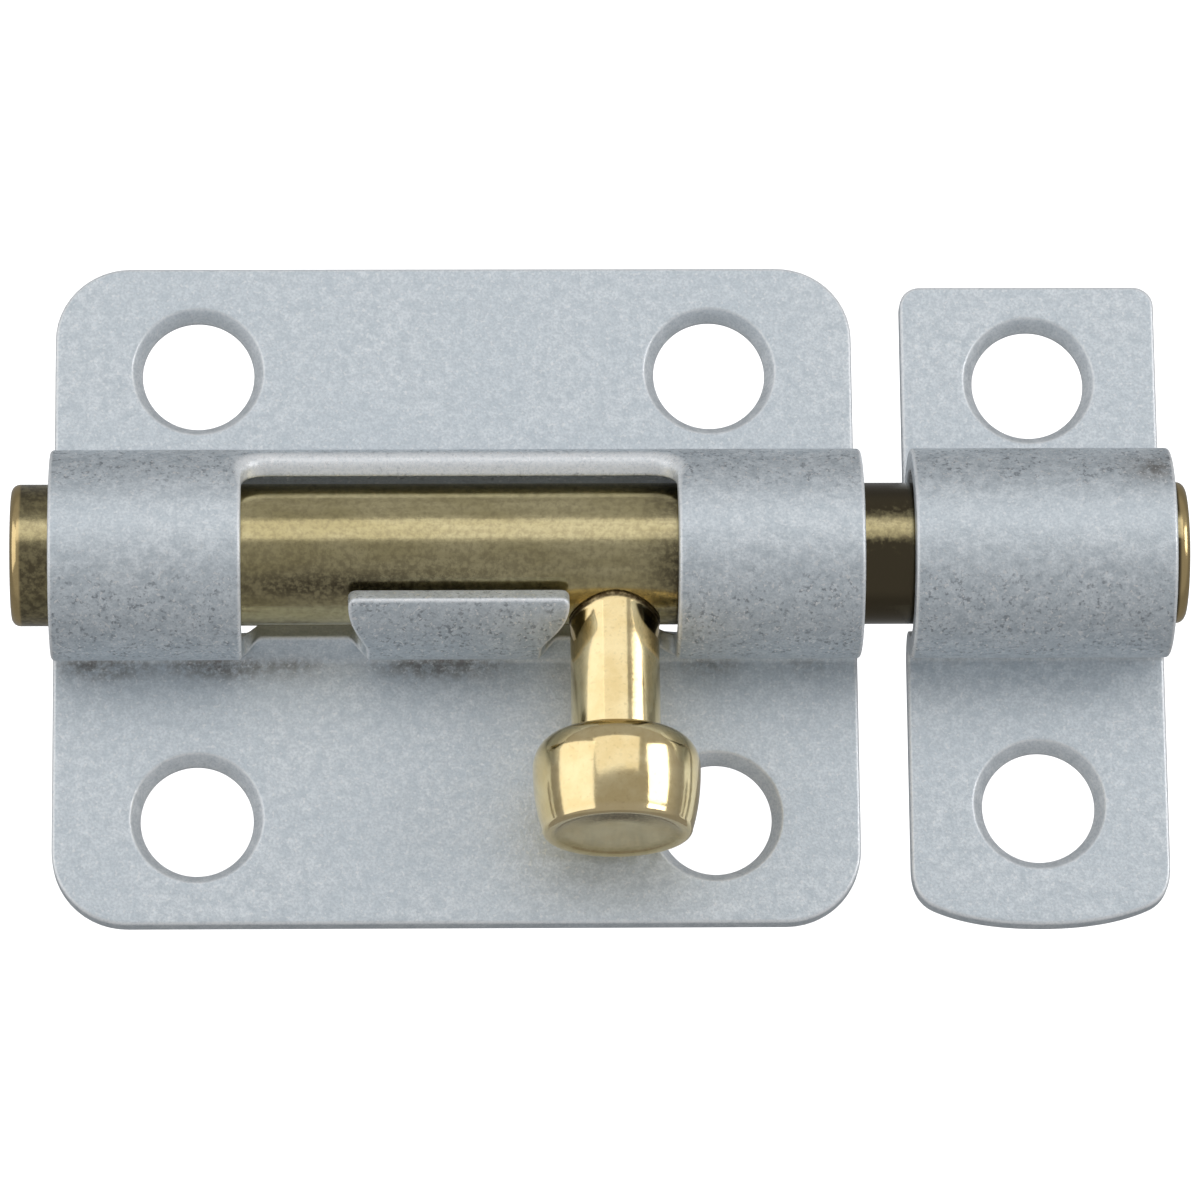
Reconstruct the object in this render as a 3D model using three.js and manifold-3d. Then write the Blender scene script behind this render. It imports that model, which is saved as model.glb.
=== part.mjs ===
// Barrel bolt with a turn-down knob lock, and its keeper. Millimetres, +Z up.
// The latch lies on its back: +X is the way the bolt shoots, +Y is up on the door, +Z is out of the door.
// The case and the keeper are each one stamped sheet, so both are made as a real stamping is: a flat
// blank is cut out, its screw holes are countersunk, and the blank is folded round the bolt.

import * as THREE from "three";
import { mergeVertices } from "three/addons/utils/BufferGeometryUtils.js";
import Module from "manifold-3d";

// ---- Driving dimensions ----

const SHEET = 1.4; // thickness of the sheet that the case and the keeper are stamped from
const CASE_LENGTH = 50.8; // the case is sold as a 2 in bolt
const CASE_HEIGHT = 43.1;
const CASE_CORNER = 4.75;

const ROD_RADIUS = 4.45;
const ROD_TAIL = -2.45; // x of the rod's back end, from the left edge of the case
const ROD_NOSE = 71.25; // x of the end that goes through the keeper
const ROD_ROUND = 0.55; // rounding at both ends of the rod

const AXIS_Y = 1.25; // the rod's axis, from the middle of the case plate
const AXIS_Z = 5.7; // the rod's axis, above the back face
const BARREL_INNER = 5.2; // inner radius of the folded barrels
const CREASE = 0.5; // radius of the crease between a barrel and its flange, on the front

const SCREW_HOLE = 3.55; // radius of the screw holes
const SINK_RADIUS = 4.15; // radius of a countersink's mouth
const SINK_LAND = 0.35; // sheet left straight under a countersink
const CASE_HOLES_X = 32.6; // hole spacing along the case
const CASE_HOLES_Y = 29.3; // hole spacing across the case

const WINDOW_LEFT = 11.95; // ends of the window in the barrel
const WINDOW_RIGHT = 39.2;
const WINDOW_CORNER = 1.7;
const RIM_ANGLE = 54; // degrees from the crest to the window's far rim
const LIP_ANGLE = -120; // degrees from the crest to the lower lip of the two knob notches
const NOTCH_ROUND = 0.6;
const LEAN_ANGLE = 55; // slope of a notch's lip in its middle, where it leans in under the rod
const LEAN_FROM_ANGLE = -100; // nothing above this leans
const TAB_ANGLE = -41; // degrees from the crest to the top edge of the lock tab
const TAB_NECK_ANGLE = -84; // degrees from the crest to where the tab has narrowed to its neck
const TAB_TOP = [18.62, 32.4]; // ends of the tab's top edge
const TAB_BASE = [19.75, 30.7]; // ends of its narrower neck
const TAB_CORNER = 0.55;

const KEEPER_LEFT = 53.95;
const KEEPER_RIGHT = 70.25;
const KEEPER_TOP = 20.25; // y of the keeper's straight upper end
const KEEPER_BOTTOM = -21.75; // y of its crowned lower end, at the middle
const KEEPER_CROWN = 1.2; // rise of the crown at the lower corners
const KEEPER_CORNER = 1.3;
const KEEPER_HOLES_Y = 27.9;

const KNOB_X = 35.3; // the knob's axis along the bolt, with the bolt shot
const KNOB_REST = 4.6; // degrees by which the knob stands off the plate at rest
const KNOB_GAP = 0.25; // clearance between the foot of the shank and the rod
const SHANK_RADIUS = 2.8;
const HEAD_START = 12.3; // distances from the rod's axis, along the knob
const HEAD_WIDEST = 14.3;
const KNOB_END = 18.6;
const HEAD_RADIUS = 5.24;
const END_RADIUS = 4.7; // the head where its taper meets the end
const SHOULDER_FLAT = 0.75; // flat ring of the shoulder outside the shank
const END_ROUND = 0.35;
const DISH_RADIUS = 3.9; // the shallow recess turned into the end
const DISH_DEPTH = 0.25;

// ---- Worked out from them ----

const BARREL_OUTER = BARREL_INNER + SHEET;
const BARREL_MID = BARREL_INNER + SHEET / 2;
const CREASE_MID = CREASE + SHEET / 2;
const CREASE_Z = SHEET + CREASE; // height of a crease's centre
const CREASE_Y = Math.sqrt((BARREL_OUTER + CREASE) ** 2 - (AXIS_Z - CREASE_Z) ** 2);
const FOLD = Math.PI / 2 + Math.asin((AXIS_Z - CREASE_Z) / (BARREL_OUTER + CREASE));
const ARC_LENGTH = BARREL_MID * FOLD; // developed length from the crest to the end of the barrel
const CREASE_LENGTH = CREASE_MID * FOLD;

const BARREL_FACETS = 13; // facets in each half of a barrel
const CREASE_FACETS = 5;
const ROUND_FACETS = 56; // sides of the rod and the knob
const HOLE_FACETS = 32;
const FOLD_TOLERANCE = 0.004; // facets this close to flat are joined once a blank is folded

const wasm = await Module();
wasm.setup();

// ---- Solids ----

function toSolid(geometry) {
  const bare = geometry.clone();
  bare.deleteAttribute("normal");
  bare.deleteAttribute("uv");
  const merged = mergeVertices(bare, 1e-5);
  return new wasm.Manifold(
    new wasm.Mesh({
      numProp: 3,
      vertProperties: Float32Array.from(merged.attributes.position.array),
      triVerts: Uint32Array.from(merged.index.array),
    }),
  );
}

function toGeometry(solid) {
  const mesh = solid.getMesh();
  const geometry = new THREE.BufferGeometry();
  geometry.setAttribute("position", new THREE.BufferAttribute(mesh.vertProperties, 3));
  geometry.setIndex(new THREE.BufferAttribute(mesh.triVerts, 1));
  return geometry;
}

// ---- Folding a blank ----
// A blank lies in x and s, where s is the developed length from the crest of the barrel. Its back is at
// height 0 and its front at height SHEET.

function developed(degreesFromCrest) {
  return BARREL_MID * THREE.MathUtils.degToRad(degreesFromCrest);
}

function developedAtFlange(y) {
  const side = Math.sign(y - AXIS_Y);
  return side * (ARC_LENGTH + CREASE_LENGTH + Math.abs(y - AXIS_Y) - CREASE_Y);
}

// Where the middle of the sheet lies at s, and the angle from +Z to its front face's normal.
function middleOfSheet(s) {
  const length = Math.abs(s);
  const side = Math.sign(s);
  let turn = length / BARREL_MID;
  let y = BARREL_MID * Math.sin(turn);
  let z = AXIS_Z + BARREL_MID * Math.cos(turn);
  if (length > ARC_LENGTH) {
    const along = Math.min(length - ARC_LENGTH, CREASE_LENGTH);
    turn = FOLD - along / CREASE_MID;
    y = CREASE_Y - CREASE_MID * Math.sin(turn);
    z = CREASE_Z - CREASE_MID * Math.cos(turn);
    y += length - ARC_LENGTH - along;
  }
  return { y: AXIS_Y + side * y, z, turn: side * turn };
}

// Splits every triangle that crosses a line, so that the blank can bend there. axis is 0 for a line of
// constant x and 1 for a line of constant s.
function score(triangles, axis, at) {
  const cut = (a, b) => {
    const [low, high] = a[axis] < b[axis] ? [a, b] : [b, a];
    const share = (at - low[axis]) / (high[axis] - low[axis]);
    const point = low.map((value, i) => value + share * (high[i] - value));
    point[axis] = at;
    return point;
  };
  return triangles.flatMap((corners) => {
    const sides = corners.map((corner) => Math.sign(corner[axis] - at));
    if (!sides.includes(1) || !sides.includes(-1)) return [corners];
    const lone = sides.findIndex((side) => side && sides.filter((other) => other === side).length === 1);
    const [apex, next, last] = [0, 1, 2].map((step) => corners[(lone + step) % 3]);
    if (sides[(lone + 1) % 3] === 0) return [[apex, next, cut(last, apex)], [next, last, cut(last, apex)]];
    if (sides[(lone + 2) % 3] === 0) return [[apex, cut(apex, next), last], [cut(apex, next), next, last]];
    const [right, left] = [cut(apex, next), cut(last, apex)];
    return [[apex, right, left], [right, next, last], [right, last, left]];
  });
}

// Each notch's ends, and the lengths of lip over which its lean comes and goes.
function leans() {
  return [
    { low: WINDOW_LEFT, high: TAB_BASE[0], rise: 1.2, fall: 1.2 },
    { low: TAB_BASE[1], high: WINDOW_RIGHT, rise: 1.2, fall: 2.0 },
  ];
}

function leanLines() {
  return leans().flatMap(({ low, high, rise, fall }) =>
    [0, 0.25, 0.5, 0.75, 1].flatMap((share) => [low + share * rise, high - share * fall]),
  );
}

// How far, from 0 to 1, the sheet leans at a place.
function leanShare(x, s) {
  if (s > developed(LEAN_FROM_ANGLE) || s < -ARC_LENGTH - CREASE_LENGTH) return 0;
  return leans().reduce((total, { low, high, rise, fall }) => {
    const near = Math.min((x - low) / rise, (high - x) / fall);
    return total + THREE.MathUtils.smoothstep(near, 0, 1);
  }, 0);
}

// Where a place on the near side of a blank lies if its crease stops turning at LEAN_ANGLE.
function leaned(s, out) {
  const run = Math.max(ARC_LENGTH + CREASE_LENGTH + s, 0);
  const turn = Math.min(run / CREASE_MID, THREE.MathUtils.degToRad(LEAN_ANGLE));
  const rest = run - CREASE_MID * turn;
  const y = CREASE_Y - (CREASE_MID - out) * Math.sin(turn) - rest * Math.cos(turn);
  const z = CREASE_Z - (CREASE_MID - out) * Math.cos(turn) + rest * Math.sin(turn);
  return { y: AXIS_Y - y, z };
}

function foldLines() {
  const lines = [];
  for (let i = 1; i <= BARREL_FACETS; i += 1) {
    lines.push((ARC_LENGTH * i) / BARREL_FACETS);
  }
  for (let i = 1; i <= CREASE_FACETS; i += 1) {
    lines.push(ARC_LENGTH + (CREASE_LENGTH * i) / CREASE_FACETS);
  }
  return [0, ...lines, ...lines.map((line) => -line)];
}

function fold(blank, withLeans = false) {
  const flat = toGeometry(blank).toNonIndexed().attributes.position;
  let triangles = [];
  for (let i = 0; i < flat.count; i += 3) {
    triangles.push([i, i + 1, i + 2].map((j) => new THREE.Vector3().fromBufferAttribute(flat, j).toArray()));
  }
  for (const line of foldLines()) {
    triangles = score(triangles, 1, line);
  }
  for (const line of withLeans ? leanLines() : []) {
    triangles = score(triangles, 0, line);
  }
  const folded = triangles.flat().flatMap(([x, s, height]) => {
    const middle = middleOfSheet(s);
    const out = height - SHEET / 2;
    const y = middle.y + out * Math.sin(middle.turn);
    const z = middle.z + out * Math.cos(middle.turn);
    const share = withLeans ? leanShare(x, s) : 0;
    const lean = leaned(s, out);
    return [x, y + share * (lean.y - y), z + share * (lean.z - z)];
  });
  const geometry = new THREE.BufferGeometry();
  geometry.setAttribute("position", new THREE.Float32BufferAttribute(folded, 3));
  return toGeometry(toSolid(geometry).simplify(FOLD_TOLERANCE));
}

function cutBlank(outline, holes) {
  for (const hole of holes) {
    outline.holes.push(new THREE.Path().absarc(hole.x, hole.y, SCREW_HOLE, 0, 2 * Math.PI, true));
  }
  const plate = new THREE.ExtrudeGeometry(outline, {
    depth: SHEET,
    bevelEnabled: false,
    curveSegments: HOLE_FACETS / 4,
  });
  let blank = toSolid(plate);
  for (const hole of holes) {
    blank = blank.subtract(toSolid(countersink().translate(hole.x, hole.y, 0)));
  }
  return blank;
}

function countersink() {
  const slope = (SINK_RADIUS - SCREW_HOLE) / (SHEET - SINK_LAND);
  const above = 1;
  const profile = [
    new THREE.Vector2(0, SINK_LAND),
    new THREE.Vector2(SCREW_HOLE + 0.005, SINK_LAND),
    new THREE.Vector2(SINK_RADIUS + above * slope, SHEET + above),
    new THREE.Vector2(0, SHEET + above),
  ];
  return new THREE.LatheGeometry(profile, HOLE_FACETS).rotateX(Math.PI / 2);
}

// ---- Case ----

function caseOutline() {
  const low = developedAtFlange(-CASE_HEIGHT / 2);
  const high = developedAtFlange(CASE_HEIGHT / 2);
  const r = CASE_CORNER;
  const outline = new THREE.Shape();
  outline.moveTo(r, low);
  outline.absarc(CASE_LENGTH - r, low + r, r, -Math.PI / 2, 0, false);
  outline.absarc(CASE_LENGTH - r, high - r, r, 0, Math.PI / 2, false);
  outline.absarc(r, high - r, r, Math.PI / 2, Math.PI, false);
  outline.absarc(r, low + r, r, Math.PI, 1.5 * Math.PI, false);
  return outline;
}

// One end of the window below the tab: the notch that the knob drops into. side is 1 at the right-hand
// end and -1 at the left, where the same points are walked the other way.
function notchPoints(wall, tabBase, side) {
  const lip = developed(LIP_ANGLE);
  const r = NOTCH_ROUND;
  return [
    [wall, lip + r],
    [wall, lip],
    [wall - side * r, lip],
    [tabBase + side * r, lip],
    [tabBase, lip],
    [tabBase, lip + 2 * r],
  ];
}

function windowOutline() {
  const rim = developed(RIM_ANGLE);
  const top = developed(TAB_ANGLE);
  const neck = developed(TAB_NECK_ANGLE);
  const r = WINDOW_CORNER;
  const t = TAB_CORNER;
  const right = notchPoints(WINDOW_RIGHT, TAB_BASE[1], 1);
  const left = notchPoints(WINDOW_LEFT, TAB_BASE[0], -1).reverse();
  const path = new THREE.Path();
  path.moveTo(WINDOW_LEFT + r, rim);
  path.absarc(WINDOW_RIGHT - r, rim - r, r, Math.PI / 2, 0, true);
  path.lineTo(...right[0]);
  path.quadraticCurveTo(...right[1], ...right[2]);
  path.lineTo(...right[3]);
  path.quadraticCurveTo(...right[4], ...right[5]);
  path.lineTo(TAB_BASE[1], neck);
  path.bezierCurveTo(TAB_BASE[1], neck + 2 * t, TAB_TOP[1], top - 4 * t, TAB_TOP[1], top - t);
  path.quadraticCurveTo(TAB_TOP[1], top, TAB_TOP[1] - t, top);
  path.lineTo(TAB_TOP[0] + t, top);
  path.quadraticCurveTo(TAB_TOP[0], top, TAB_TOP[0], top - t);
  path.bezierCurveTo(TAB_TOP[0], top - 4 * t, TAB_BASE[0], neck + 2 * t, TAB_BASE[0], neck);
  path.lineTo(...left[0]);
  path.quadraticCurveTo(...left[1], ...left[2]);
  path.lineTo(...left[3]);
  path.quadraticCurveTo(...left[4], ...left[5]);
  path.lineTo(WINDOW_LEFT, rim - r);
  path.absarc(WINDOW_LEFT + r, rim - r, r, Math.PI, Math.PI / 2, true);
  return path;
}

function makeCase() {
  const outline = caseOutline();
  outline.holes.push(windowOutline());
  const holes = [];
  for (const x of [-CASE_HOLES_X / 2, CASE_HOLES_X / 2]) {
    for (const y of [-CASE_HOLES_Y / 2, CASE_HOLES_Y / 2]) {
      holes.push(new THREE.Vector2(CASE_LENGTH / 2 + x, developedAtFlange(y)));
    }
  }
  return fold(cutBlank(outline, holes), true);
}

// ---- Keeper ----

function keeperOutline() {
  const low = developedAtFlange(KEEPER_BOTTOM);
  const high = developedAtFlange(KEEPER_TOP);
  const middle = (KEEPER_LEFT + KEEPER_RIGHT) / 2;
  const r = KEEPER_CORNER;
  const outline = new THREE.Shape();
  outline.moveTo(middle, low);
  const shoulder = low + KEEPER_CROWN;
  outline.quadraticCurveTo(KEEPER_RIGHT - 3 * r, low, KEEPER_RIGHT - r, shoulder);
  outline.quadraticCurveTo(KEEPER_RIGHT, shoulder + r / 2, KEEPER_RIGHT, shoulder + 2 * r);
  outline.absarc(KEEPER_RIGHT - r, high - r, r, 0, Math.PI / 2, false);
  outline.absarc(KEEPER_LEFT + r, high - r, r, Math.PI / 2, Math.PI, false);
  outline.lineTo(KEEPER_LEFT, shoulder + 2 * r);
  outline.quadraticCurveTo(KEEPER_LEFT, shoulder + r / 2, KEEPER_LEFT + r, shoulder);
  outline.quadraticCurveTo(KEEPER_LEFT + 3 * r, low, middle, low);
  return outline;
}

function makeKeeper() {
  const middle = (KEEPER_LEFT + KEEPER_RIGHT) / 2;
  const holes = [-1, 1].map(
    (side) => new THREE.Vector2(middle, developedAtFlange((side * KEEPER_HOLES_Y) / 2)),
  );
  return fold(cutBlank(keeperOutline(), holes));
}

// ---- Bolt ----

function roundedCorner(x, y, radius, from, to, steps) {
  return Array.from({ length: steps + 1 }, (_, i) => {
    const angle = from + ((to - from) * i) / steps;
    return new THREE.Vector2(x + radius * Math.cos(angle), y + radius * Math.sin(angle));
  });
}

function makeRod() {
  const inset = ROD_RADIUS - ROD_ROUND;
  const profile = [
    new THREE.Vector2(0, ROD_TAIL),
    ...roundedCorner(inset, ROD_TAIL + ROD_ROUND, ROD_ROUND, -Math.PI / 2, 0, 3),
    ...roundedCorner(inset, ROD_NOSE - ROD_ROUND, ROD_ROUND, 0, Math.PI / 2, 3),
    new THREE.Vector2(0, ROD_NOSE),
  ];
  return mergeVertices(bareLathe(profile), 1e-4);
}

function bareLathe(profile) {
  const geometry = new THREE.LatheGeometry(profile, ROUND_FACETS);
  geometry.deleteAttribute("normal");
  geometry.deleteAttribute("uv");
  return geometry;
}

// The knob's profile runs out along its own axis, which starts on the axis of the rod.
function makeKnob() {
  const shoulder = SHANK_RADIUS + SHOULDER_FLAT;
  const profile = [new THREE.Vector2(0, 0), new THREE.Vector2(SHANK_RADIUS, 0)];
  profile.push(new THREE.Vector2(SHANK_RADIUS, HEAD_START));
  const across = HEAD_RADIUS - shoulder;
  const along = HEAD_WIDEST - HEAD_START;
  for (let i = 0; i <= 6; i += 1) {
    const angle = (Math.PI / 2) * (i / 6);
    profile.push(
      new THREE.Vector2(shoulder + across * Math.sin(angle), HEAD_WIDEST - along * Math.cos(angle)),
    );
  }
  const taper = new THREE.QuadraticBezierCurve(
    new THREE.Vector2(HEAD_RADIUS, HEAD_WIDEST),
    new THREE.Vector2(HEAD_RADIUS, (HEAD_WIDEST + KNOB_END) / 2),
    new THREE.Vector2(END_RADIUS, KNOB_END - END_ROUND),
  );
  profile.push(...taper.getPoints(5).slice(1));
  profile.push(new THREE.Vector2(END_RADIUS - END_ROUND, KNOB_END));
  profile.push(new THREE.Vector2(DISH_RADIUS, KNOB_END));
  profile.push(new THREE.Vector2(DISH_RADIUS - DISH_DEPTH, KNOB_END - DISH_DEPTH));
  profile.push(new THREE.Vector2(0, KNOB_END - DISH_DEPTH));
  const saddle = new THREE.CylinderGeometry(
    ROD_RADIUS + KNOB_GAP,
    ROD_RADIUS + KNOB_GAP,
    4 * SHANK_RADIUS,
    ROUND_FACETS,
  ).rotateZ(Math.PI / 2);
  return toGeometry(toSolid(bareLathe(profile)).subtract(toSolid(saddle)));
}

// ---- Assembly ----

const galvanised = new THREE.MeshStandardMaterial({ color: 0xb4bcc6, roughness: 0.48, metalness: 0.9 });
const rodBrass = new THREE.MeshStandardMaterial({ color: 0x8a7a48, roughness: 0.34, metalness: 1 });
const knobBrass = new THREE.MeshStandardMaterial({ color: 0xc9a765, roughness: 0.16, metalness: 1 });

function piece(name, geometry, material) {
  const mesh = new THREE.Mesh(geometry, material);
  mesh.name = name;
  return mesh;
}

const latch = new THREE.Group();

const casePiece = piece("case", makeCase(), galvanised);

const keeper = piece("keeper", makeKeeper(), galvanised);

const rod = piece("bolt_rod", makeRod(), rodBrass);
rod.rotation.z = -Math.PI / 2;

const knob = piece("knob", makeKnob(), knobBrass);
knob.position.x = KNOB_X;
knob.rotation.x = Math.PI - THREE.MathUtils.degToRad(KNOB_REST);

// The rod and the knob share the axis of the barrels.
const bolt = new THREE.Group();
bolt.position.set(0, AXIS_Y, AXIS_Z);
bolt.add(rod, knob);

latch.add(casePiece, keeper, bolt);

// The origin is under the middle of the whole latch, on the face that lies against the door.
latch.position.set(-(ROD_TAIL + ROD_NOSE) / 2, -(CASE_HEIGHT / 2 + KEEPER_BOTTOM) / 2, 0);

export default latch;
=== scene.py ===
"""Barrel bolt latch, shot into its keeper: fine surfaces, materials, light and camera."""

import math

import bpy
import numpy as np
from mathutils import Matrix, Vector
from mathutils.geometry import delaunay_2d_cdt


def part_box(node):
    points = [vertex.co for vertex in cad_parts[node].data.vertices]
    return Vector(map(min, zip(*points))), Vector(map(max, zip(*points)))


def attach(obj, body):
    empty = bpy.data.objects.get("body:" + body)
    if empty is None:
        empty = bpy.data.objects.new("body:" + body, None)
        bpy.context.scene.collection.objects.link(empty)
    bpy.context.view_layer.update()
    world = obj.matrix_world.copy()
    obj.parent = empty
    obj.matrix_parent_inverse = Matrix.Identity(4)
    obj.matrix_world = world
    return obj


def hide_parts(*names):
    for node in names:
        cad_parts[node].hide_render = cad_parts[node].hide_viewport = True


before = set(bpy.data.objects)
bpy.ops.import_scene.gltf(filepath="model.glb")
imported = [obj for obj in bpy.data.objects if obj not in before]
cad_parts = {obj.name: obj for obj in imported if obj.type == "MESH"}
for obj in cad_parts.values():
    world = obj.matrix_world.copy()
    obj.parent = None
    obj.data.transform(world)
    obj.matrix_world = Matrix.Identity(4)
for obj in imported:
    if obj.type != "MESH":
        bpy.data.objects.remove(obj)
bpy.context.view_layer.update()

MM = 0.001

# ---------------------------------------------------------------------------------------------
# Sizes. Everything below is in millimetres from the left end of the case, the middle of its
# height and the face that lies against the door, and is turned into the part's frame at the end.
# ---------------------------------------------------------------------------------------------

case_low, case_high = (np.array(corner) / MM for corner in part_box("case"))
rod_low, rod_high = (np.array(corner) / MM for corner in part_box("bolt_rod"))
keeper_low, keeper_high = (np.array(corner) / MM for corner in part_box("keeper"))
knob_low, knob_high = (np.array(corner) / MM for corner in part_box("knob"))

ORIGIN = np.array([case_low[0], (case_low[1] + case_high[1]) / 2, case_low[2]])
CASE_LENGTH = case_high[0] - case_low[0]
CASE_HALF = (case_high[1] - case_low[1]) / 2
KEEPER_LEFT, KEEPER_BOTTOM = (keeper_low - ORIGIN)[:2]
KEEPER_RIGHT, KEEPER_TOP = (keeper_high - ORIGIN)[:2]
KEEPER_MIDDLE = (KEEPER_LEFT + KEEPER_RIGHT) / 2
KNOB_X = (knob_low[0] + knob_high[0]) / 2 - ORIGIN[0]
ROD_TAIL, ROD_NOSE = rod_low[0] - ORIGIN[0], rod_high[0] - ORIGIN[0]
AXIS_Y, AXIS_Z = ((rod_low + rod_high) / 2 - ORIGIN)[1:]
ROD_RADIUS = (rod_high[2] - rod_low[2]) / 2

SHEET = 1.4
BARREL_INNER = case_high[2] - case_low[2] - AXIS_Z - SHEET
BARREL_MID = BARREL_INNER + SHEET / 2  # radius of the middle of the sheet
CREASE = 0.5  # inner radius of the bend between the barrel and a plate
CREASE_MID = CREASE + SHEET / 2
CREASE_Z = SHEET + CREASE
CREASE_REACH = BARREL_INNER + SHEET + CREASE
FOLD = math.pi / 2 + math.asin((AXIS_Z - CREASE_Z) / CREASE_REACH)
CREASE_Y = math.sqrt(CREASE_REACH**2 - (AXIS_Z - CREASE_Z) ** 2)
ARC_END = BARREL_MID * FOLD
CREASE_END = ARC_END + CREASE_MID * FOLD

FRONT_ROUND = 0.24  # rounding of a stamped edge on the front, where the punch went in
BACK_ROUND = 0.09
RIM_ROUND = 0.85  # the window's far rim is drawn over more than the other edges
SINK_RADIUS = 4.15  # mouth of a countersink
HOLE_RADIUS = 3.55
SINK_LAND = 0.35  # height at which a countersink meets its straight hole

CORNER = 4.75
CASE_HOLE_X, CASE_HOLE_Y = 16.3, 14.65  # from the middle of the case
KEEPER_HOLE_Y = 13.95
KEEPER_CORNER, KEEPER_CROWN = 1.3, 1.2

WINDOW_LEFT, WINDOW_RIGHT, WINDOW_CORNER = 11.95, 39.2, 1.7
RIM = BARREL_MID * math.radians(54)  # length from the crest to the window's far rim
TAB_TOP, TAB_BASE = (18.62, 32.4), (19.75, 30.7)
NOTCH_ROUND, TAB_CORNER = 0.6, 0.55
LEAN = math.radians(55)  # slope of a notch's lip in its middle
LEANS = [  # each notch's ends, and the lengths of lip over which the lean comes and goes
    ((WINDOW_LEFT, TAB_BASE[0]), (1.2, 1.2)),
    ((TAB_BASE[1], WINDOW_RIGHT), (1.2, 2.0)),
]
LEAN_FROM = BARREL_MID * math.radians(100)

ROD_CHAMFER = 0.55
ROD_SIDES, ROD_RINGS = 128, 120

KNOB_LEAN = math.radians(4.6)  # how far the knob stands off the plate at rest
SHANK_RADIUS = 2.8
HEAD_START, HEAD_WIDEST, KNOB_END = 12.3, 14.3, 18.6
HEAD_RADIUS, END_RADIUS = 5.24, 4.7
SHANK_FILLET, END_ROUND, RECESS = 0.28, 0.35, 0.25
FOOT_GAP = 0.04  # between the shank's foot and the rod
FOOT_RINGS, FOOT_HEIGHT = 4, 4.6  # the rings that follow the round of the foot, and its height
KNOB_SIDES = 144

# How finely a sheet is meshed: between points along its outline, along an opening and inside it,
# between lines around the barrel in degrees, and from a cut edge to the nearest point inside.
OUTLINE_PITCH, OPENING_PITCH, GRID_PITCH = 0.3, 0.22, 0.6
BEND_PITCH = 2.5
EDGE_MARGIN = 0.17
SHEET_REACH = 40  # no sheet goes further than this from its crest

VIEW_DISTANCE, VIEW_ANGLE = 500.0, math.radians(8.696568778)
VIEW_PITCH, VIEW_YAW, VIEW_ROLL = (math.radians(angle) for angle in (15.712, 1.786, -0.641))
VIEW_TARGET = (34.563, -0.428, 1.0)


def to_part(points):
    """Millimetres from the case's left end, as metres in the part's frame."""
    return (np.asarray(points, dtype=float) + ORIGIN) * MM


# ---------------------------------------------------------------------------------------------
# Folded sheet. A blank lies in x and s, where s is the length from the crest of the barrel, and
# its front is at height SHEET. It is meshed flat, with rounded edges, and then folded.
# ---------------------------------------------------------------------------------------------


def flange(y):
    """The s of a place on the flat of a plate."""
    side = math.copysign(1.0, y - AXIS_Y)
    return side * (CREASE_END + abs(y - AXIS_Y) - CREASE_Y)


def around(degrees):
    """The s of a place on the barrel, in degrees from its crest."""
    return BARREL_MID * math.radians(degrees)


def eased(share):
    """A share from 0 to 1 with soft ends, and held there outside them."""
    share = np.clip(share, 0, 1)
    return share * share * (3 - 2 * share)


def bell(value, middle, width):
    return np.exp(-(((value - middle) / width) ** 2))


def lean_share(x, s):
    """How far, from 0 to 1, the sheet leans in under the rod: fully in the middle of each notch's
    lip, and not at all where the lip meets the window's ends and the tab."""
    share = np.zeros(len(x))
    for (low, high), (rise, fall) in LEANS:
        share += eased(np.minimum((x - low) / rise, (high - x) / fall))
    return share * ((s < -LEAN_FROM) & (s > -CREASE_END))


def fold(blank, leans):
    """Where the points of a blank, as rows of x, s and height, lie once it is folded. leans is
    whether the notches' lips lean in under the rod."""
    x, s, height = blank.T
    side, length = np.sign(s), np.abs(s)
    turn = length / BARREL_MID
    y = BARREL_MID * np.sin(turn)
    z = AXIS_Z + BARREL_MID * np.cos(turn)
    in_crease = length > ARC_END
    along = np.clip(length - ARC_END, 0, CREASE_END - ARC_END)
    crease_turn = FOLD - along / CREASE_MID
    crease_y = CREASE_Y - CREASE_MID * np.sin(crease_turn) + np.maximum(length - CREASE_END, 0)
    crease_z = CREASE_Z - CREASE_MID * np.cos(crease_turn)
    turn = np.where(in_crease, crease_turn, turn)
    y = np.where(in_crease, crease_y, y)
    z = np.where(in_crease, crease_z, z)
    out = height - SHEET / 2
    y, z = y + out * np.sin(turn), z + out * np.cos(turn)
    if leans:
        run = np.maximum(CREASE_END - length, 0)
        turn = np.minimum(run / CREASE_MID, LEAN)
        rest = run - CREASE_MID * turn
        lean_y = CREASE_Y - (CREASE_MID - out) * np.sin(turn) - rest * np.cos(turn)
        lean_z = CREASE_Z - (CREASE_MID - out) * np.cos(turn) + rest * np.sin(turn)
        share = lean_share(x, s)
        y, z = y + share * (lean_y - y), z + share * (lean_z - z)
    return np.stack([x, AXIS_Y + side * y, z], axis=1)


def arc(cx, cy, radius, start, end, steps=14):
    """Points of an arc, its angles in degrees."""
    angles = np.radians(np.linspace(start, end, steps))
    return [(cx + radius * math.cos(a), cy + radius * math.sin(a)) for a in angles]


def bezier(*control, steps=12):
    """Points of a Bezier curve of any degree."""
    t = np.linspace(0, 1, steps)[:, None]
    n = len(control) - 1
    total = sum(
        math.comb(n, i) * (1 - t) ** (n - i) * t**i * np.array(point, dtype=float)
        for i, point in enumerate(control)
    )
    return [tuple(row) for row in total]


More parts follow.
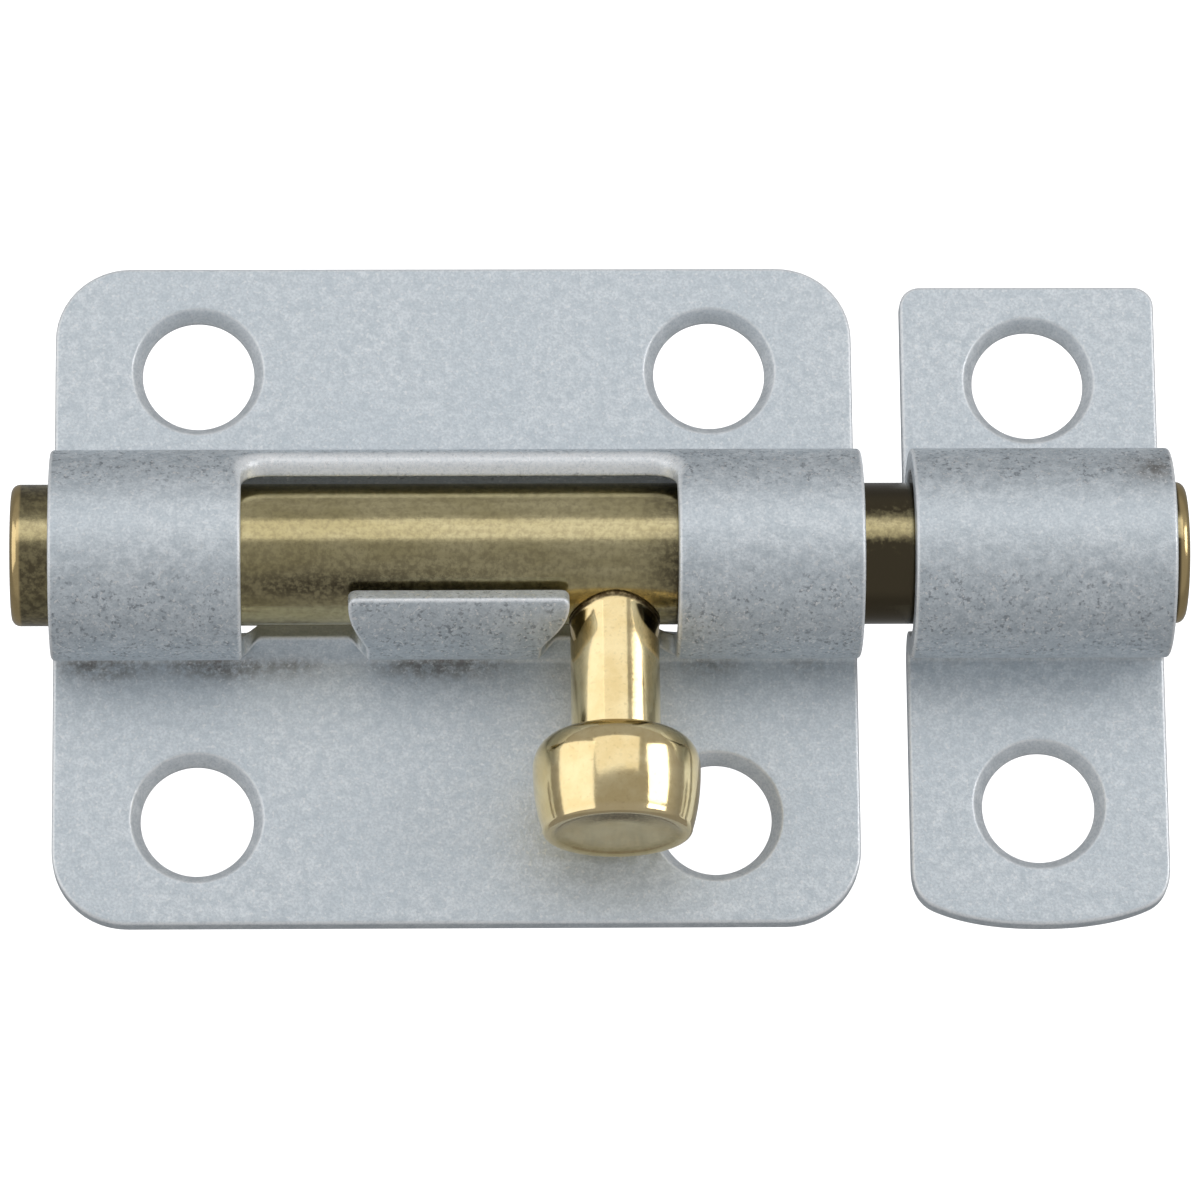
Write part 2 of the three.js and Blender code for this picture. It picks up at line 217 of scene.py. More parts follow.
def even(loop, pitch):
    """A closed loop again, counter-clockwise, with its points at an even pitch and none twice."""
    points = np.array(loop, dtype=float)
    keep = np.linalg.norm(points - np.roll(points, 1, axis=0), axis=1) > 1e-6
    points = points[keep]
    x, y = points.T
    if np.sum(x * np.roll(y, -1) - y * np.roll(x, -1)) < 0:
        points = points[::-1]
    closed = np.vstack([points, points[:1]])
    run = np.concatenate([[0], np.cumsum(np.linalg.norm(np.diff(closed, axis=0), axis=1))])
    at = np.linspace(0, run[-1], max(int(run[-1] / pitch), 12), endpoint=False)
    return np.stack([np.interp(at, run, closed[:, axis]) for axis in (0, 1)], axis=1)


def inward(loop, distance):
    """A counter-clockwise loop moved to its left by a distance."""
    tangent = np.roll(loop, -1, axis=0) - np.roll(loop, 1, axis=0)
    tangent /= np.linalg.norm(tangent, axis=1)[:, None]
    return loop + distance * np.stack([-tangent[:, 1], tangent[:, 0]], axis=1)


def inside(points, loop):
    """Which points lie inside a loop."""
    x, y = points[:, 0][:, None], points[:, 1][:, None]
    ax, ay = loop.T
    bx, by = np.roll(loop, -1, axis=0).T
    with np.errstate(divide="ignore", invalid="ignore"):
        crosses = ((ay > y) != (by > y)) & (x < (bx - ax) * (y - ay) / (by - ay) + ax)
    return crosses.sum(axis=1) % 2 == 1


def distance_to(points, loop):
    """How far points are from the nearest point of a loop, taken a part at a time."""
    best = np.full(len(points), np.inf)
    for part in np.array_split(loop, 1 + len(loop) // 64):
        gaps = np.linalg.norm(points[:, None, :] - part[None, :, :], axis=2)
        best = np.minimum(best, gaps.min(axis=1))
    return best


def cut_edge(loop, into, front_round, cut_wear_and_sheen):
    """Rings of a stamped edge, from the front face to the back: (loop, height, wear) for each.
    into is 1 where the sheet lies inside the loop, and -1 where the loop is an opening.
    front_round is the front's rounding at each of the points, and the last argument is the cut's
    wear there, which along the window's far rim is also a painted sheen."""
    rings, cut_low, back_wear = [], 0.2, 0.4
    for angle in np.radians(np.linspace(0, 90, 9)):
        inset = front_round * (1 - math.sin(angle))
        height = SHEET - front_round * (1 - math.cos(angle))
        wear = math.sin(2 * angle) * (1 - cut_wear_and_sheen) + cut_wear_and_sheen * min(1, 2 * angle)
        rings.append((inward(loop, into * inset[:, None]), height, wear))
    low = rings[-1][1]
    for share in (0.5, 0.1):
        rings.append((loop, cut_low + (low - cut_low) * share, cut_wear_and_sheen))
    for angle in np.radians(np.linspace(0, 90, 3)):
        inset, height = BACK_ROUND * (1 - math.cos(angle)), BACK_ROUND * (1 - math.sin(angle))
        rings.append((inward(loop, into * inset), height, back_wear))
    return rings


def sunk_hole(x, s, steps=96):
    """Rings of a countersunk screw hole, from the front face to the back."""
    slope = (SINK_RADIUS - HOLE_RADIUS) / (SHEET - SINK_LAND)
    # The cone's wear lightens it: partly worn coat, partly a painted sheen.
    cone = [(HOLE_RADIUS + slope * (z - SINK_LAND), z, 0.42) for z in (1.1, 0.8, 0.5)]
    profile = [  # radius, height and wear
        (SINK_RADIUS + 0.16, SHEET, 0.0),
        (SINK_RADIUS + 0.07, SHEET - 0.012, 0.6),
        (SINK_RADIUS + 0.01, SHEET - 0.06, 1.0),
        (SINK_RADIUS - 0.05, SHEET - 0.14, 0.5),
        *cone,
        (HOLE_RADIUS + 0.03, SINK_LAND + 0.05, 0.6),
        (HOLE_RADIUS, SINK_LAND - 0.06, 0.5),
        (HOLE_RADIUS, 0.12, 0.0),
        (HOLE_RADIUS + 0.02, 0.03, 0.4),
        (HOLE_RADIUS + 0.07, 0.0, 0.2),
    ]
    return [
        (np.array(arc(x, s, radius, 0, 360, steps + 1)[:-1]), height, wear)
        for radius, height, wear in profile
    ]


def face_of_sheet(boundary, openings, lines_x, lines_s):
    """Triangles that fill the space between a boundary and its openings. Returns the inner points
    and the triangles, which count the loops' points first."""
    loops = [boundary, *openings]
    grid = np.array([(x, s) for x in lines_x for s in lines_s])
    grid = grid[inside(grid, boundary)]
    for loop in openings:
        grid = grid[~inside(grid, loop)]
    for loop in loops:
        grid = grid[distance_to(grid, loop) > EDGE_MARGIN]
    points = np.vstack([*loops, grid])
    edges, start = [], 0
    for loop in loops:
        edges += [(start + i, start + (i + 1) % len(loop)) for i in range(len(loop))]
        start += len(loop)
    made = delaunay_2d_cdt([Vector(point) for point in points], edges, [], 0, 1e-7)
    came_from = [ids[0] for ids in made[3]]
    triangles = np.array([[came_from[i] for i in face] for face in made[2]])
    middle = points[triangles].mean(axis=1)
    keep = inside(middle, boundary)
    for loop in openings:
        keep &= ~inside(middle, loop)
    return grid, triangles[keep]


def folded_sheet(name, outline, openings, holes, body, node, stain):
    """A stamped and folded piece. stain gives a darkness from 0 to 1 at x and s."""
    rim = even(outline, OUTLINE_PITCH)
    edges = [cut_edge(rim, 1, np.full(len(rim), FRONT_ROUND), np.full(len(rim), 0.1))]
    for opening in openings:
        loop = even(opening, OPENING_PITCH)
        # Towards the window's far rim the edge is rounded more and its cut wears up to 1; that
        # wear is partly a painted sheen on the drawn rim.
        drawn = eased((loop[:, 1] - RIM + 2 * WINDOW_CORNER) / (2 * WINDOW_CORNER))
        rounding = FRONT_ROUND + (RIM_ROUND - FRONT_ROUND) * drawn
        edges.append(cut_edge(loop, -1, rounding, 0.25 + 0.75 * drawn))
    edges += [sunk_hole(x, s) for x, s in holes]
    low, high = np.min(outline, axis=0), np.max(outline, axis=0)
    lines_x = np.linspace(low[0], high[0], int((high[0] - low[0]) / GRID_PITCH))
    bend = np.radians(np.arange(-180, 181, BEND_PITCH)) * BARREL_MID
    tight = np.linspace(ARC_END, CREASE_END, 13)
    flat = np.arange(CREASE_END + 0.5, SHEET_REACH, GRID_PITCH)
    lines_s = np.concatenate([bend[np.abs(bend) < ARC_END - 0.1], tight, -tight, flat, -flat])

    points, wear, faces = [], [], []

    def add(rows, height, amount):
        """Adds points, given as rows of x and s, and returns the number of the first."""
        start = sum(len(block) for block in points)
        points.append(np.column_stack([rows, np.broadcast_to(height, len(rows))]))
        wear.append(np.broadcast_to(amount, len(rows)))
        return start

    ends = []
    for number, rings in enumerate(edges):
        starts = [add(*ring) for ring in rings]
        count = len(rings[0][0])
        for upper, lower in zip(starts, starts[1:]):
            for i in range(count):
                j = (i + 1) % count
                quad = (upper + i, lower + i, lower + j, upper + j)
                faces.append(quad if number == 0 else quad[::-1])
        ends.append((starts[0], starts[-1], count))
    for which, height in ((0, SHEET), (-1, 0.0)):
        loops = [rings[which][0] for rings in edges]
        grid, triangles = face_of_sheet(loops[0], loops[1:], lines_x, lines_s)
        index = np.concatenate(
            [np.arange(count) + (first if which == 0 else last) for first, last, count in ends]
            + [np.arange(len(grid)) + add(grid, height, 0.0)]
        )
        for a, b, c in index[triangles]:
            faces.append((a, b, c) if which == 0 else (a, c, b))

    flat_points = np.vstack(points)
    x, lengths, heights = flat_points.T
    corners = [tuple(int(i) for i in face) for face in faces]
    mesh = smooth_mesh(name, fold(flat_points, leans=bool(openings)), corners)
    paint_points(mesh, "wear", np.concatenate(wear))
    paint_points(mesh, "stain", stain(x, lengths) * (heights > 0.5 * SHEET))
    paint_points(mesh, "bend", np.degrees(lengths / BARREL_MID))
    mesh.validate()
    place(name, mesh, body, node, "galvanised_steel")


def smooth_mesh(name, points, faces):
    mesh = bpy.data.meshes.new(name)
    mesh.from_pydata(to_part(points).tolist(), [], faces)
    mesh.polygons.foreach_set("use_smooth", [True] * len(mesh.polygons))
    return mesh


def paint_points(mesh, attribute, values):
    layer = mesh.attributes.new(attribute, "FLOAT", "POINT")
    layer.data.foreach_set("value", np.asarray(values, dtype=np.float32))


def place(name, mesh, body, node, slot):
    """Puts a new mesh into the scene in place of a CAD node."""
    piece = bpy.data.objects.new(name, mesh)
    bpy.context.scene.collection.objects.link(piece)
    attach(piece, body)
    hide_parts(node)
    mesh.materials.append(materials[slot])


# ---------------------------------------------------------------------------------------------
# Turned pieces
# ---------------------------------------------------------------------------------------------


def turned(profile, sides, foot=None):
    """Points and faces of a profile of (radius, distance) turned about an axis, which starts and
    ends on that axis. foot moves the first ring's points, given their angles."""
    angles = np.linspace(0, 2 * math.pi, sides, endpoint=False)
    points, faces = [(0.0, 0.0, profile[0][1])], []
    for number, (radius, distance) in enumerate(profile[1:-1]):
        for angle in angles:
            shift = foot(radius, angle) if foot and number == 0 else distance
            points.append((radius * math.cos(angle), radius * math.sin(angle), shift))
    points.append((0.0, 0.0, profile[-1][1]))
    rings = len(profile) - 2
    last = len(points) - 1
    for i in range(sides):
        j = (i + 1) % sides
        faces.append((0, 1 + j, 1 + i))
        for ring in range(rings - 1):
            a, b = 1 + ring * sides, 1 + (ring + 1) * sides
            faces.append((a + i, a + j, b + j, b + i))
        end = 1 + (rings - 1) * sides
        faces.append((end + i, end + j, last))
    return np.array(points), faces


# ---------------------------------------------------------------------------------------------
# Materials
# ---------------------------------------------------------------------------------------------


class Shader:
    """A material's nodes, made with short calls. A value is a number, a colour or a socket."""

    def __init__(self, name):
        self.material = bpy.data.materials.new(name)
        self.material.use_nodes = True
        self.tree = self.material.node_tree
        self.principled = self.tree.nodes["Principled BSDF"]
        self.place = self.node("ShaderNodeTexCoord").outputs["Object"]

    def node(self, kind, inputs=(), **settings):
        made = self.tree.nodes.new(kind)
        for key, value in settings.items():
            setattr(made, key, value)
        for key, value in dict(inputs).items():
            self.set(made.inputs[key], value)
        return made

    def set(self, socket, value):
        if isinstance(value, bpy.types.NodeSocket):
            self.tree.links.new(value, socket)
        elif isinstance(value, tuple) and len(value) == 3 and socket.type == "RGBA":
            socket.default_value = (*value, 1.0)
        else:
            socket.default_value = value

    def math(self, operation, a, b=0.0, clamp=False):
        return self.node(
            "ShaderNodeMath", {0: a, 1: b}, operation=operation, use_clamp=clamp
        ).outputs[0]

    def attribute(self, name):
        return self.node("ShaderNodeAttribute", attribute_name=name).outputs["Fac"]

    def stretched(self, x, y, z):
        """The place, in millimetres, scaled along each axis."""
        scale = tuple(value / MM for value in (x, y, z))
        return self.node(
            "ShaderNodeMapping", {"Vector": self.place, "Scale": scale}
        ).outputs["Vector"]

    def noise(self, size, detail=2.0, roughness=0.5, distortion=0.0, vector=None):
        """Noise from 0 to 1 whose features are about size millimetres across."""
        return self.node(
            "ShaderNodeTexNoise",
            {
                "Vector": vector or self.stretched(1, 1, 1),
                "Scale": 1.0 / size,
                "Detail": detail,
                "Roughness": roughness,
                "Distortion": distortion,
            },
        ).outputs["Fac"]

    def ramp(self, value, low, high, to_low=0.0, to_high=1.0):
        """value's range from low to high, as to_low to to_high, with soft ends."""
        limits = {"From Min": low, "From Max": high, "To Min": to_low, "To Max": to_high}
        return self.node(
            "ShaderNodeMapRange", {"Value": value, **limits}, interpolation_type="SMOOTHSTEP"
        ).outputs["Result"]

    def mix(self, share, a, b):
        made = self.node("ShaderNodeMix", data_type="RGBA")
        for socket, value in ((made.inputs[0], share), (made.inputs[6], a), (made.inputs[7], b)):
            self.set(socket, value)
        return made.outputs[2]

    def bump(self, height, distance, strength=1.0, normal=None):
        inputs = {"Height": height, "Distance": distance * MM, "Strength": strength}
        if normal:
            inputs["Normal"] = normal
        return self.node("ShaderNodeBump", inputs).outputs["Normal"]

    def finish(self, **values):
        for key, value in values.items():
            self.set(self.principled.inputs[key.replace("_", " ")], value)
        return self.material


def galvanised():
    dark_coat, pale_coat = (0.655, 0.715, 0.76), (0.915, 0.955, 0.985)
    cloud_grey, grain_grey = (0.72, 0.785, 0.835), (0.51, 0.56, 0.605)
    speck_dark, dirt_brown = (0.17, 0.19, 0.22), (0.21, 0.19, 0.17)
    worn_and_sheen_white, glint_white = (0.95, 0.965, 0.98), (0.98, 0.985, 0.99)
    s = Shader("galvanised_steel")
    bend = s.math("ABSOLUTE", s.attribute("bend"))
    wear = s.attribute("wear")
    grain = s.noise(0.17, 2.0, 0.6)
    cloud = s.noise(0.75, 4.0, 0.68)
    broad = s.noise(6.0, 3.0, 0.5)
    # Where the sheet was rolled its coat is rougher, and holds dark specks.
    rolled = s.math("MULTIPLY", s.ramp(bend, 16, 36), s.ramp(bend, 112, 84))
    patches = s.ramp(s.noise(1.7, 4.0, 0.7), 0.36, 0.64)
    speck_here = s.math("MULTIPLY", rolled, s.math("ADD", s.math("MULTIPLY", patches, 0.9), 0.25))
    speck = s.ramp(s.noise(0.32, 3.0, 0.62), 0.52, 0.66)
    speck = s.math("MULTIPLY", speck, speck_here, clamp=True)
    colour = s.mix(s.ramp(cloud, 0.30, 0.70), dark_coat, pale_coat)
    colour = s.mix(s.ramp(broad, 0.35, 0.65, 0.0, 0.35), colour, cloud_grey)
    colour = s.mix(s.ramp(grain, 0.32, 0.68, 0.42, 0.0), colour, grain_grey)
    colour = s.mix(s.math("MULTIPLY", speck, 0.60), colour, speck_dark)
    dirt = s.ramp(s.noise(0.55, 4.0, 0.72), 0.34, 0.62, 0.25, 1.0)
    dirt = s.math("MULTIPLY", s.attribute("stain"), dirt, clamp=True)
    colour = s.mix(s.math("MULTIPLY", dirt, 0.82), colour, dirt_brown)
    # Wear whitens the coat; on the window's far rim and in the countersinks' cones this whitening
    # is partly a painted sheen.
    shine = s.math("MULTIPLY", wear, s.ramp(grain, 0.30, 0.62, 0.45, 0.95))
    colour = s.mix(shine, colour, worn_and_sheen_white)
    # Small painted glints, thicker where the sheet was rolled: white mixed into the coat's colour,
    # where the roughness is also lower.
    glint = s.ramp(s.noise(0.24, 2.0, 0.5), 0.60, 0.68)
    glint = s.math("MULTIPLY", glint, s.math("ADD", s.math("MULTIPLY", rolled, 0.55), 0.40))
    colour = s.mix(glint, colour, glint_white)
    rough = s.ramp(cloud, 0.3, 0.7, 0.50, 0.62)
    rough = s.math("SUBTRACT", rough, s.math("MULTIPLY", wear, 0.16))
    rough = s.math("SUBTRACT", rough, s.math("MULTIPLY", glint, 0.20))
    normal = s.bump(grain, 0.034, 0.6)
    normal = s.bump(cloud, 0.06, 0.4, normal)
    metal = s.math("SUBTRACT", 0.86, s.math("MULTIPLY", wear, 0.56))
    return s.finish(Base_Color=colour, Metallic=metal, Roughness=rough, Normal=normal)


def rod_brass():
    dark_brass, pale_brass = (0.60, 0.515, 0.27), (0.75, 0.655, 0.38)
    clean_brass, tarnish_and_shade_brown = (0.83, 0.62, 0.30), (0.098, 0.079, 0.048)
    drawn_brown, dull_brown = (0.36, 0.29, 0.14), (0.27, 0.215, 0.12)
    s = Shader("rod_brass")
    drawn = s.noise(0.5, 3.0, 0.6, vector=s.stretched(0.06, 1, 1))
    blotch = s.noise(3.0, 4.0, 0.6, vector=s.stretched(0.35, 1, 1))
    mottle = s.noise(0.42, 4.0, 0.72)
    colour = s.mix(s.ramp(blotch, 0.35, 0.65), dark_brass, pale_brass)
    colour = s.mix(s.ramp(drawn, 0.35, 0.7, 0.22, 0.0), colour, drawn_brown)
    colour = s.mix(s.ramp(mottle, 0.40, 0.66, 0.05, 0.42), colour, dull_brown)
    # Dark spots of tarnish, which by the keeper also stand in as painted shade from the barrels.
    spots = s.ramp(mottle, 0.34, 0.60, 0.62, 1.0)
    spots = s.math("MULTIPLY", s.attribute("tarnish_and_shade"), spots, clamp=True)
    colour = s.mix(spots, colour, tarnish_and_shade_brown)
    colour = s.mix(s.math("MULTIPLY", s.attribute("wear"), 0.7), colour, clean_brass)
    rough = s.ramp(blotch, 0.3, 0.7, 0.15, 0.22)
    normal = s.bump(drawn, 0.008, 0.5)
    normal = s.bump(mottle, 0.010, 0.4, normal)
    return s.finish(Base_Color=colour, Metallic=1.0, Roughness=rough, Normal=normal)


def knob_brass():
    dark_brass, pale_brass, fine_brown = (0.80, 0.62, 0.31), (0.91, 0.75, 0.43), (0.50, 0.37, 0.17)
    grime_and_shade_brown, worn_brass = (0.10, 0.065, 0.03), (0.93, 0.76, 0.48)
    s = Shader("knob_brass")
    foot = s.attribute("foot")
    cloud = s.noise(2.2, 4.0, 0.6)
    fine = s.noise(0.25, 3.0, 0.6)
    colour = s.mix(s.ramp(cloud, 0.3, 0.7), dark_brass, pale_brass)
    colour = s.mix(s.ramp(fine, 0.55, 0.75, 0.0, 0.30), colour, fine_brown)
    # Grime at the shank's foot and in the recess, and a painted shadow in the hollow of the end on
    # the side away from the plate, darken the brass.
    grime = s.math("MULTIPLY", foot, s.ramp(fine, 0.25, 0.6, 0.55, 1.0), clamp=True)
    colour = s.mix(grime, colour, grime_and_shade_brown)
    colour = s.mix(s.math("MULTIPLY", s.attribute("wear"), 0.3), colour, worn_brass)
    rough = s.ramp(cloud, 0.3, 0.7, 0.09, 0.16)
    rough = s.math("ADD", rough, s.math("MULTIPLY", foot, 0.3))
    normal = s.bump(cloud, 0.04, 0.3)
    return s.finish(Base_Color=colour, Metallic=1.0, Roughness=rough, Normal=normal)


materials = {
    "galvanised_steel": galvanised(),
    "rod_brass": rod_brass(),
    "knob_brass": knob_brass(),
}

# ---------------------------------------------------------------------------------------------
# Case
# ---------------------------------------------------------------------------------------------

LIP, TAB_EDGE, TAB_NECK = around(-120), around(-41), around(-84)


def notch(wall, base, side):
    """The lower edge of one notch, from the window's end to the tab."""
    r = NOTCH_ROUND
    points = bezier((wall, LIP + r), (wall, LIP), (wall - side * r, LIP), steps=8)
    return points + bezier((base + side * r, LIP), (base, LIP), (base, LIP + 2 * r), steps=8)


def tab_side(top, base, side):
    """One side of the tab, from its neck up to its top edge. side is 1 for the right."""
    t = TAB_CORNER
    neck, shoulder = (base, TAB_NECK + 2 * t), (top, TAB_EDGE - 4 * t)
    points = bezier((base, TAB_NECK), neck, shoulder, (top, TAB_EDGE - t))
    corner = ((top, TAB_EDGE - t), (top, TAB_EDGE), (top - side * t, TAB_EDGE))
    return points + bezier(*corner, steps=8)


def window():
    r = WINDOW_CORNER
    points = arc(WINDOW_RIGHT - r, RIM - r, r, 90, 0)
    points += notch(WINDOW_RIGHT, TAB_BASE[1], 1)
    points += tab_side(TAB_TOP[1], TAB_BASE[1], 1)
    points += tab_side(TAB_TOP[0], TAB_BASE[0], -1)[::-1]
    points += notch(WINDOW_LEFT, TAB_BASE[0], -1)[::-1]
    points += arc(WINDOW_LEFT + r, RIM - r, r, 180, 90)
    return points


def rounded_plate():
    low, high, r = flange(-CASE_HALF), flange(CASE_HALF), CORNER
    return (
        arc(CASE_LENGTH - r, low + r, r, -90, 0)
        + arc(CASE_LENGTH - r, high - r, r, 0, 90)
        + arc(r, high - r, r, 90, 180)
        + arc(r, low + r, r, 180, 270)
    )


def case_stain(x, s):
    """Grime in patches along the crease under the barrel."""
    crease = bell(s, -CREASE_END + 0.1, 0.85)
    along = bell(x, 3.2, 2.4) + bell(x, 10.6, 3.2) + 0.4 * bell(x, 15.5, 1.4)
    along += 1.0 * bell(x, 24.5, 3.6) + 0.5 * bell(x, 41.5, 1.8) + 0.3 * bell(x, 47.5, 2.0)
    return np.clip(crease * along * 1.6, 0, 1)


hole_x = [CASE_LENGTH / 2 - CASE_HOLE_X, CASE_LENGTH / 2 + CASE_HOLE_X]
case_holes = [(x, flange(y)) for x in hole_x for y in (-CASE_HOLE_Y, CASE_HOLE_Y)]
folded_sheet("case_stamping", rounded_plate(), [window()], case_holes, "base", "case", case_stain)

# ---------------------------------------------------------------------------------------------
# Keeper
# ---------------------------------------------------------------------------------------------


def keeper_outline():
    r = KEEPER_CORNER
    low, high = flange(KEEPER_BOTTOM), flange(KEEPER_TOP)
    shoulder = low + KEEPER_CROWN
    right, turn = KEEPER_RIGHT, (KEEPER_RIGHT - r, shoulder)
    half = bezier((KEEPER_MIDDLE, low), (right - 3 * r, low), turn, steps=20)
    half += bezier(turn, (right, shoulder + r / 2), (right, shoulder + 2 * r))
    half += arc(right - r, high - r, r, 0, 90)
    return half + [(2 * KEEPER_MIDDLE - x, s) for x, s in half[::-1]]


def keeper_stain(x, s):
    """A dark patch on the barrel by its right end, and faint grime in both creases."""
    right = bell(x, KEEPER_RIGHT - 1.2, 1.6) * bell(s, around(38), 1.1)
    crease = bell(np.abs(s), 0.5 * (ARC_END + CREASE_END) + 0.4, 0.9)
    return np.clip(right + 0.30 * crease, 0, 1)


keeper_holes = [(KEEPER_MIDDLE, flange(y)) for y in (-KEEPER_HOLE_Y, KEEPER_HOLE_Y)]
folded_sheet("keeper_stamping", keeper_outline(), [], keeper_holes, "base", "keeper", keeper_stain)

# ---------------------------------------------------------------------------------------------
# Rod
# ---------------------------------------------------------------------------------------------


def rounded_end(end, outward):
    """Profile of a rod's end, from its middle out to its side."""
    points = [(share * ROD_RADIUS, end) for share in (0.0, 0.35, 0.7)]
    points += [(ROD_RADIUS - ROD_CHAMFER - 0.10, end)]
    for angle in np.radians(np.linspace(0, 90, 6)):
        radius = ROD_RADIUS - ROD_CHAMFER * (1 - math.sin(angle))
        points.append((radius, end - outward * ROD_CHAMFER * (1 - math.cos(angle))))
    return points


straight = np.linspace(ROD_TAIL + ROD_CHAMFER + 0.15, ROD_NOSE - ROD_CHAMFER - 0.15, ROD_RINGS)
rod_profile = rounded_end(ROD_TAIL, -1) + [(ROD_RADIUS, x) for x in straight]
rod_profile += rounded_end(ROD_NOSE, 1)[::-1]
rod_points, rod_faces = turned(rod_profile, ROD_SIDES)
rod_worn = [0.0]
for _, x in rod_profile[1:-1]:
    on_round = 0 < min(x - ROD_TAIL, ROD_NOSE - x) < ROD_CHAMFER + 0.05
    rod_worn += [float(on_round)] * ROD_SIDES
rod_points = rod_points[:, [2, 0, 1]] + (0, AXIS_Y, AXIS_Z)
rod_mesh = smooth_mesh("bolt_rod_turned", rod_points, rod_faces)
paint_points(rod_mesh, "wear", rod_worn + [0.0])
# Tarnish darkens the ends, and by the keeper it is also painted shade from the barrels; a line
# near the crest, where the highlight falls, is kept clear, and patches by the tab are darker.
rod_x = rod_points[:, 0]
rod_turn = np.degrees(np.arctan2(rod_points[:, 1] - AXIS_Y, rod_points[:, 2] - AXIS_Z))
clear_crest = 0.85 * bell(rod_turn, 7.0, 14.0)
patch = 0.85 * bell(rod_turn, -44.0, 15.0) * bell(rod_x, 17.0, 10.0)
patch += 0.35 * bell(rod_turn, -26.0, 22.0) * bell(rod_x, 24.0, 20.0)
ends = 1.6 * np.clip((rod_x - 36.5) / 5.0, 0, 1) + 0.8 * np.clip((3.0 - rod_x) / 3.0, 0, 1)
paint_points(rod_mesh, "tarnish_and_shade", np.clip(ends * (1 - clear_crest) + patch, 0, 1.6))
place("bolt_rod_turned", rod_mesh, "bolt", "bolt_rod", "rod_brass")

# ---------------------------------------------------------------------------------------------
# Knob
# ---------------------------------------------------------------------------------------------


def knob_profile():
    """Rings of the knob: (radius, distance from the rod's axis, wear, grime) for each."""
    shoulder, floor = SHANK_RADIUS + 0.75, KNOB_END - RECESS
    rings = [(0.0, 3.0, 0, 1), (SHANK_RADIUS + 0.05, 3.0, 0, 1), (SHANK_RADIUS + 0.05, 4.9, 0, 1)]
    rings += [(SHANK_RADIUS + 0.02, 5.1, 0, 0.9), (SHANK_RADIUS, 5.28, 0, 0.1)]
    rings += [(SHANK_RADIUS, d, 0, 0) for d in np.linspace(5.5, HEAD_START - END_ROUND, 12)]
    for angle in np.radians(np.linspace(0, 90, 5)):
        radius = SHANK_RADIUS + SHANK_FILLET * (1 - math.cos(angle))
        rings.append((radius, HEAD_START - SHANK_FILLET * (1 - math.sin(angle)), 0, 0.35))
    wide, long = HEAD_RADIUS - shoulder, HEAD_WIDEST - HEAD_START
    for angle in np.radians(np.linspace(0, 90, 20)):
        radius = shoulder + wide * math.sin(angle)
        rings.append((radius, HEAD_WIDEST - long * math.cos(angle), 0, 0))
    taper = bezier(
        (HEAD_RADIUS, HEAD_WIDEST),
        (HEAD_RADIUS, (HEAD_WIDEST + KNOB_END) / 2),
        (END_RADIUS, KNOB_END - END_ROUND),
        steps=16,
    )
    rings += [(radius, d, 0, 0) for radius, d in taper[1:-1]]
    for angle in np.radians(np.linspace(0, 90, 7)):
        radius = END_RADIUS - END_ROUND * (1 - math.cos(angle))
        rings.append((radius, KNOB_END - END_ROUND * (1 - math.sin(angle)), 1, 0))
    rings += [(4.2, KNOB_END, 0.3, 0), (4.0, KNOB_END - 0.02, 0, 0.1)]
    rings += [(3.85, KNOB_END - 0.10, 0, 0.3), (3.6, KNOB_END - 0.21, 0, 0.25)]
    rings += [(3.2, floor, 0, 0.1)] + [(radius, floor, 0, 0.05) for radius in (2.4, 1.6, 0.8, 0.0)]
    return rings


def foot(radius, angle):
    """The shank's foot rests on the round of the rod."""
    return math.sqrt((ROD_RADIUS + FOOT_GAP) ** 2 - (radius * math.sin(angle)) ** 2)


knob_rings = knob_profile()
knob_points, knob_faces = turned([ring[:2] for ring in knob_rings], KNOB_SIDES, foot)
knob_points[0, 2] = ROD_RADIUS + FOOT_GAP
foot_ring = knob_points[1 : 1 + KNOB_SIDES, 2]
for number in range(1, 1 + FOOT_RINGS):
    start = 1 + number * KNOB_SIDES
    ring = knob_points[start : start + KNOB_SIDES]
    above = knob_rings[number + 1][1] - FOOT_HEIGHT
    ring[:, 2] = np.maximum(foot_ring + above * 0.6, foot_ring + 0.02 * number)
knob_axis = np.array([0.0, -math.cos(KNOB_LEAN), math.sin(KNOB_LEAN)])
knob_turned_to = np.array([(1.0, 0.0, 0.0), np.cross(knob_axis, (1.0, 0.0, 0.0)), knob_axis])
knob_points = knob_points @ knob_turned_to + (KNOB_X, AXIS_Y, AXIS_Z)
knob_mesh = smooth_mesh("knob_turned", knob_points, knob_faces)

# The hollow of the knob's end is also darkened on the side away from the plate: a painted shadow
# cast by the end's rim.
upward = np.clip(np.sin(np.linspace(0, 2 * math.pi, KNOB_SIDES, endpoint=False)), 0, 1)
worn, grime_and_shade = [knob_rings[0][2]], [knob_rings[0][3]]
for radius, distance, wear, grime in knob_rings[1:-1]:
    in_hollow = 2.3 < radius < 3.95 and KNOB_END - 0.3 < distance < KNOB_END
    worn += [wear] * KNOB_SIDES
    grime_and_shade += list(grime + 0.75 * upward**2 * in_hollow)
paint_points(knob_mesh, "wear", worn + [knob_rings[-1][2]])
paint_points(knob_mesh, "foot", grime_and_shade + [knob_rings[-1][3]])
place("knob_turned", knob_mesh, "knob", "knob", "knob_brass")

# ---------------------------------------------------------------------------------------------
# Floor, light and camera
# ---------------------------------------------------------------------------------------------


def card(name, centre, size, strength):
    """A soft rectangular light, in millimetres, facing the latch. strength is its radiance."""
    light = bpy.data.lights.new(name, "AREA")
    light.shape = "RECTANGLE"
    light.size, light.size_y = size[0] * MM, size[1] * MM
    light.energy = strength * math.pi * light.size * light.size_y
    holder = bpy.data.objects.new(name, light)
    holder.location = Vector(centre) * MM
    holder.rotation_euler = (-Vector(centre)).to_track_quat("-Z", "Y").to_euler()
    bpy.context.scene.collection.objects.link(holder)


